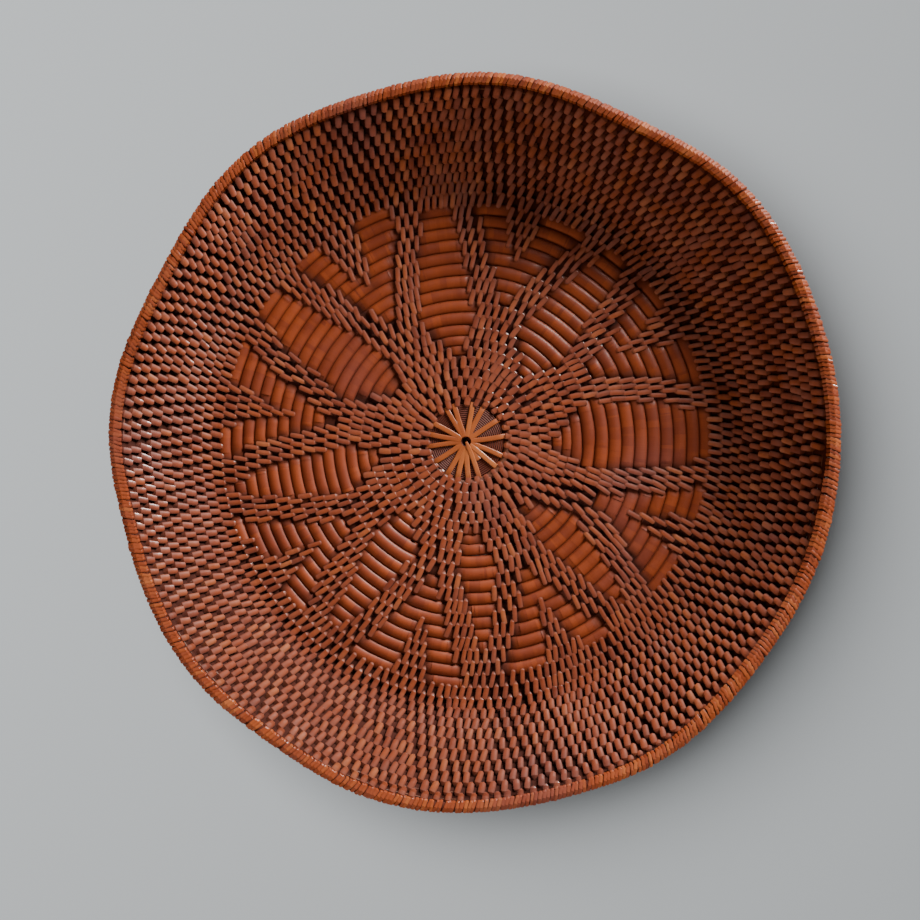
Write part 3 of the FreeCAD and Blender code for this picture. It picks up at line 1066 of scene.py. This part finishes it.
@dataclass
class Hub:
    """The hub: flat strips that meet over a wound backing, and the start of the coil round it."""

    finishes: Finishes
    spokes: int = 16
    width: float = 2.45 * MM
    thickness: float = 0.95 * MM
    raised_spoke: float = 290.0
    raised_start: float = 0.2 * MM
    tucked_length: float = 1.6 * MM
    crossing_rise: float = 0.28 * MM
    raised_rise: float = 0.55 * MM
    dive_depth: float = 0.9 * MM
    dive_from: float = 17.2 * MM

    def build(self) -> None:
        """Builds the strips and dresses the backing."""
        self.redress("hub_backing", self.finishes.lining)
        # The start of the foundation cane takes the core finish, painted near-black as shade.
        self.redress("foundation_cane_start", self.finishes.core)
        pattern = self.strip_pattern()
        for k in range(1, self.spokes + 1):
            self.lay_strip(f"hub_spoke_{k:02d}", pattern, k)
        self.lay_strip("hub_stub", pattern, 0)

    @staticmethod
    def redress(node: str, material: bpy.types.Material) -> None:
        """Gives a carried-over CAD node its finish.

        Args:
            node: The node's name.
            material: Its finish.
        """
        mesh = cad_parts[node].data
        mesh.materials.clear()
        mesh.materials.append(material)
        LOG.info("%s: dressed as packed", node)

    def strip_pattern(self) -> Pattern:
        """Models one flat strip.

        Returns:
            The strip, with soft edges, from 0 to 1 along x.
        """
        begin()
        bpy.ops.mesh.primitive_cube_add(size=1.0, location=(0.5, 0, 0))
        obj = bpy.context.object
        bpy.ops.object.transform_apply(location=True)
        bpy.ops.object.mode_set(mode="EDIT")
        lengths = 12
        for k in range(1, lengths):
            bpy.ops.mesh.select_all(action="SELECT")
            bpy.ops.mesh.bisect(plane_co=(k / lengths, 0, 0), plane_no=(1, 0, 0))
        bpy.ops.mesh.select_all(action="DESELECT")
        bpy.ops.mesh.select_mode(type="EDGE")
        bpy.ops.object.mode_set(mode="OBJECT")
        for e in obj.data.edges:
            p, q = (obj.data.vertices[i].co for i in e.vertices)
            e.select = abs(p.y - q.y) < 0.01 and abs(p.z - q.z) < 0.01
        bpy.ops.object.mode_set(mode="EDIT")
        bpy.ops.mesh.bevel(offset=0.28, segments=3, affect="EDGES")
        bpy.ops.mesh.select_all(action="SELECT")
        bpy.ops.mesh.remove_doubles(threshold=0.0001)
        bpy.ops.mesh.normals_make_consistent(inside=False)
        bpy.ops.object.mode_set(mode="OBJECT")
        return Pattern.taken_from(obj)

    def lay_strip(self, node: str, pattern: Pattern, number: int) -> None:
        """Lays one strip where its CAD node lies.

        Args:
            node: The strip's node.
            pattern: The strip that was modelled once.
            number: Its number, which seeds its own small differences.
        """
        rng = random.Random(SEED * 7 + number)
        co = vertices_of(node)
        middle = co.mean(0)
        angle = math.atan2(middle[1], middle[0])
        out = np.hypot(co[:, 0], co[:, 1])
        start, stop = out.min(), out.max()
        floor_z = co[:, 2].min()
        raised = abs(math.degrees(angle) % 360 - self.raised_spoke) < 2
        if raised:
            start = self.raised_start
        x = pattern.corners[:, 0]
        r = start + (stop + (self.tucked_length if number else 0) - start) * x
        wide = np.minimum(self.width * rng.uniform(0.93, 1.07), 0.40 * r + 0.95 * MM)
        bow = rng.uniform(-0.35, 0.35) * MM * np.sin(x * math.pi)
        lift = self.crossing_rise * np.exp(-((r / (5.5 * MM)) ** 2)) + rng.uniform(0, 0.12) * MM
        if raised:
            lift = lift + self.raised_rise * np.exp(-((r / (7.0 * MM)) ** 2))
        dive = self.dive_depth * ease((r - self.dive_from) / (2.6 * MM))
        side = pattern.corners[:, 1] * wide + bow
        z = floor_z + self.thickness * (0.5 + pattern.corners[:, 2]) + lift - dive
        if not number:
            z = z - 0.12 * MM
        places = np.stack([
            r * math.cos(angle) - side * math.sin(angle),
            r * math.sin(angle) + side * math.cos(angle),
            z,
        ], -1)[None]
        maps = np.stack([x * 1.6 + number * 3.1, pattern.corners[:, 1] * 0.12], -1)[None]
        tone = np.array([rng.uniform(0.25, 0.75)])
        sew(f"{node}_strip", pattern, places, maps, tone, np.zeros(1),
            self.finishes.spoke, (node,), 55.0)


@dataclass
class Rim:
    """The rim: a rod closed into a ring and wrapped closely with glossy cane."""

    finishes: Finishes
    gap: float = 1.98 * MM
    bound_radius: float = 2.75 * MM
    inward_reach: float = 1.9 * MM
    wall_slope: float = math.radians(50)
    slant: float = 0.42
    thickness: float = 0.52 * MM
    sectors: int = 96
    sunk_wrap: float = 0.30 * MM
    rod_gap: float = 0.45 * MM
    flat_reach: float = 0.22
    steps: int = 13
    turns: np.ndarray = field(init=False)
    reaches: np.ndarray = field(init=False)
    heights: np.ndarray = field(init=False)

    def __post_init__(self) -> None:
        """Reads the ring's centre line from its node, sector by sector."""
        co = vertices_of("rim_binding")
        out = np.hypot(co[:, 0], co[:, 1])
        sector = sectors_of(co, self.sectors)
        rows = []
        for k in range(self.sectors):
            here = sector == k
            r, z = out[here], co[here, 2]
            rows.append(((k + 0.5) / self.sectors, (r.max() + r.min()) / 2, (z.max() + z.min()) / 2))
        before, after = (rows[-1][0] - 1,) + rows[-1][1:], (rows[0][0] + 1,) + rows[0][1:]
        self.turns, self.reaches, self.heights = np.array([before] + rows + [after]).T

    def place(self, t: np.ndarray) -> np.ndarray:
        """Finds points of the ring's centre line.

        Args:
            t: Directions from the hub's axis, in turns.

        Returns:
            The points, with x, y, z in the last axis.
        """
        r, z = np.interp(t % 1.0, self.turns, self.reaches), np.interp(t % 1.0, self.turns, self.heights)
        return np.stack([r * np.cos(t * math.tau), r * np.sin(t * math.tau), z], -1)

    def reach_inward(self, t0: np.ndarray, spin: np.ndarray) -> np.ndarray:
        """Finds how far the wraps reach in to take hold of the last turn of the coil.

        Args:
            t0: Direction of each wrap, in turns.
            spin: Angle round the rod.

        Returns:
            The extra distance from the rod, most where the coil's last turn thins out.
        """
        inward = np.clip(-np.cos(spin - self.wall_slope), 0, 1) ** 2
        toward_end = ease((t0 - 0.80) / 0.10) * (1 - ease((t0 - 0.975) / 0.025))
        past_end = 0.6 * np.exp(-((((t0 + 0.5) % 1.0) - 0.53) / 0.09) ** 2)
        share = self.flat_reach + (1 - self.flat_reach) * np.maximum(toward_end, past_end)
        return inward * self.inward_reach * share

    def build(self) -> None:
        """Builds the wrapping, and the rod inside it."""
        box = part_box("rim_binding")
        around = math.pi * ((box[1].x - box[0].x) + (box[1].y - box[0].y)) / 2
        half = self.bound_radius
        rng = np.random.default_rng(SEED)
        count = round(around / self.gap)
        pattern = model_strip(6, self.steps - 1, 0.7)
        x, y = pattern.corners[:, 0], pattern.corners[:, 1]
        y = np.where(y < -0.1, y * 0.4, y)
        ring = np.round(pattern.corners[:, 2]).astype(int)
        t0 = (np.arange(count) + rng.normal(0, 0.10, count)) / count
        spin = np.linspace(-math.pi * 0.98, math.pi * 1.0, self.steps)[None, :] + math.pi / 2
        lean = self.slant * (1 + rng.normal(0, 0.25, (count, 1)))
        t = t0[:, None] - lean * np.cos(spin) * half / around
        step = 0.0008
        along = unit(self.place(t + step) - self.place(t - step))
        flat = np.stack([np.cos(t * math.tau), np.sin(t * math.tau), np.zeros_like(t)], -1)
        across = unit(flat - along * (flat * along).sum(-1, keepdims=True))
        up = np.cross(across, along)
        proud = half - self.sunk_wrap + rng.choice([0.0, 0.08, 0.26], (count, 1), p=[0.55, 0.3, 0.15]) * MM
        proud = proud + self.reach_inward(t0[:, None], spin)
        centre = self.place(t)
        line = centre + (across * np.cos(spin)[..., None] + up * np.sin(spin)[..., None]) * proud[..., None]
        heading = unit(np.gradient(line, axis=1))
        side = unit(along - heading * (along * heading).sum(-1, keepdims=True))
        outward = np.cross(heading, side)
        outward = outward * np.sign((outward * (line - centre)).sum(-1, keepdims=True))
        width = 0.52 * self.gap * rng.uniform(0.86, 1.14, (count, 1)) * np.ones_like(t)
        thick = self.thickness * rng.uniform(0.8, 1.15, (count, 1)) * np.ones_like(t)
        places = (
            line[:, ring]
            + side[:, ring] * (x * width[:, ring])[..., None]
            + outward[:, ring] * (y * thick[:, ring])[..., None]
        )
        maps = np.stack([ring[None, :] * 0.3 + t0[:, None] * 300, np.broadcast_to(x * 0.1, (count, len(x)))], -1)
        tone = rng.triangular(0.05, 0.5, 0.95, count)
        # Painted shade: each wrap darkens on its sides and on its face against the rod.
        low = np.broadcast_to(0.8 * (1 - ease((y + 0.1) / 0.8)), (count, len(y)))
        sew("rim_wrapping", pattern, places, maps, tone, low,
            self.finishes.rim, ("rim_binding",), 75.0)
        self.rod(half - self.rod_gap)

    def rod(self, half: float) -> None:
        """Builds the rod inside the wrapping.

        Args:
            half: The rod's radius.
        """
        lengths, count = 12, 16
        pattern = model_strip(10, lengths, 1.0)
        at = np.linspace(0, 1, count + 1)
        t = at[:-1, None] + np.diff(at)[:, None] * (pattern.corners[:, 2] / lengths)
        flat = np.stack([np.cos(t * math.tau), np.sin(t * math.tau), np.zeros_like(t)], -1)
        places = self.place(t) + flat * (pattern.corners[:, 0] * half)[None, :, None]
        places[..., 2] += pattern.corners[:, 1] * half
        maps = np.stack([t * 90, np.broadcast_to(pattern.corners[:, 0], t.shape)], -1)
        # The rod inside the wrapping carries strong painted shade.
        sew("rim_rod_ring", pattern, places, maps, np.full(count, 0.1), np.full(count, 0.85),
            self.finishes.wrap, ("rim_rod",))


# ---------------------------------------------------------------- the table and the light


@dataclass
class Studio:
    """The plain table, the soft lights and the camera straight above.

    The key stands low beyond the right, and lights all but the table. The fill comes from
    the other side and shows in no reflection. The wash lights the table alone.
    """

    eye_height: float = 0.75
    eye_x: float = -0.0030
    eye_y: float = -0.00925
    frame_width: float = 0.46
    sensor: float = 36.0
    table_size: float = 6.0
    surround: float = 0.12
    warm_white: Color = (1.0, 0.96, 0.93, 1.0)
    table_tone: Color = (0.23, 0.235, 0.237, 1.0)
    table_only: bpy.types.Collection | None = None
    but_table: bpy.types.Collection | None = None

    def build(self, floor_z: float) -> None:
        """Sets the table at a height and places everything.

        Args:
            floor_z: The height of the table's top.
        """
        self.table(floor_z)
        self.lights()
        self.camera()

    def table(self, floor_z: float) -> None:
        """Lays the table's top, and sorts the lights' reach into the table and all but the table.

        Args:
            floor_z: The height of its top.
        """
        begin()
        bpy.ops.mesh.primitive_plane_add(size=self.table_size, location=(0, 0, floor_z))
        top = bpy.context.object
        top.name = "table_top"
        made = bpy.data.materials.new("matt_table")
        made.use_nodes = True
        shader = made.node_tree.nodes["Principled BSDF"]
        shader.inputs["Base Color"].default_value = self.table_tone
        shader.inputs["Roughness"].default_value = 0.9
        shader.inputs["Specular IOR Level"].default_value = 0.1
        top.data.materials.append(made)
        top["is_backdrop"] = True
        self.table_only = bpy.data.collections.new("table_only")
        self.table_only.objects.link(top)
        self.but_table = bpy.data.collections.new("all_but_table")
        self.but_table.objects.link(top)
        self.but_table.collection_objects[0].light_linking.link_state = "EXCLUDE"

    def lights(self) -> None:
        """Hangs the three soft lights, all aimed at the middle of the tray, and sets the surround."""
        lamps = (
            ("key_softbox", (0.96, 1.10, 0.54), 0.7, 122.0, (1.0, 0.955, 0.92)),
            ("fill_card", (-0.85, -0.95, 0.75), 1.2, 23.0, (1.0, 0.96, 0.93)),
            ("table_wash", (-0.9, 0.5, 1.6), 2.0, 150.0, (0.96, 0.985, 1.0)),
        )
        for name, place, size, power, tint in lamps:
            lamp = bpy.data.lights.new(name, "AREA")
            lamp.size = size
            lamp.energy = power
            lamp.color = tint
            obj = bpy.data.objects.new(name, lamp)
            bpy.context.collection.objects.link(obj)
            obj.location = place
            obj.rotation_euler = (-obj.location).to_track_quat("-Z", "Y").to_euler()
            obj.light_linking.receiver_collection = self.table_only if name == "table_wash" else self.but_table
            obj.visible_glossy = name != "fill_card"
        world = bpy.data.worlds.new("surround")
        world.use_nodes = True
        back = world.node_tree.nodes["Background"]
        back.inputs["Color"].default_value = self.warm_white
        back.inputs["Strength"].default_value = self.surround
        bpy.context.scene.world = world

    def camera(self) -> None:
        """Looks straight down at the tray."""
        data = bpy.data.cameras.new("overhead_camera")
        data.sensor_width = self.sensor
        data.lens = self.sensor * self.eye_height / self.frame_width
        data.clip_start, data.clip_end = 0.01, 20.0
        obj = bpy.data.objects.new("overhead_camera", data)
        bpy.context.collection.objects.link(obj)
        obj.location = (self.eye_x, self.eye_y, self.eye_height)
        bpy.context.scene.camera = obj


def main() -> None:
    """Builds the tray, its table and its light."""
    logging.basicConfig(level=logging.INFO, format="%(message)s")
    finishes = Finishes()
    Hub(finishes).build()
    coil = Coil(CoilRoute(), StarPlan(), finishes)
    for turn, node in enumerate(coil.route.nodes(), -1):
        coil.dress_turn(turn, node)
    coil.foundation()
    Rim(finishes).build()
    low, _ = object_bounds()
    Studio().build(low.z)


if __name__ == "__main__":
    main()
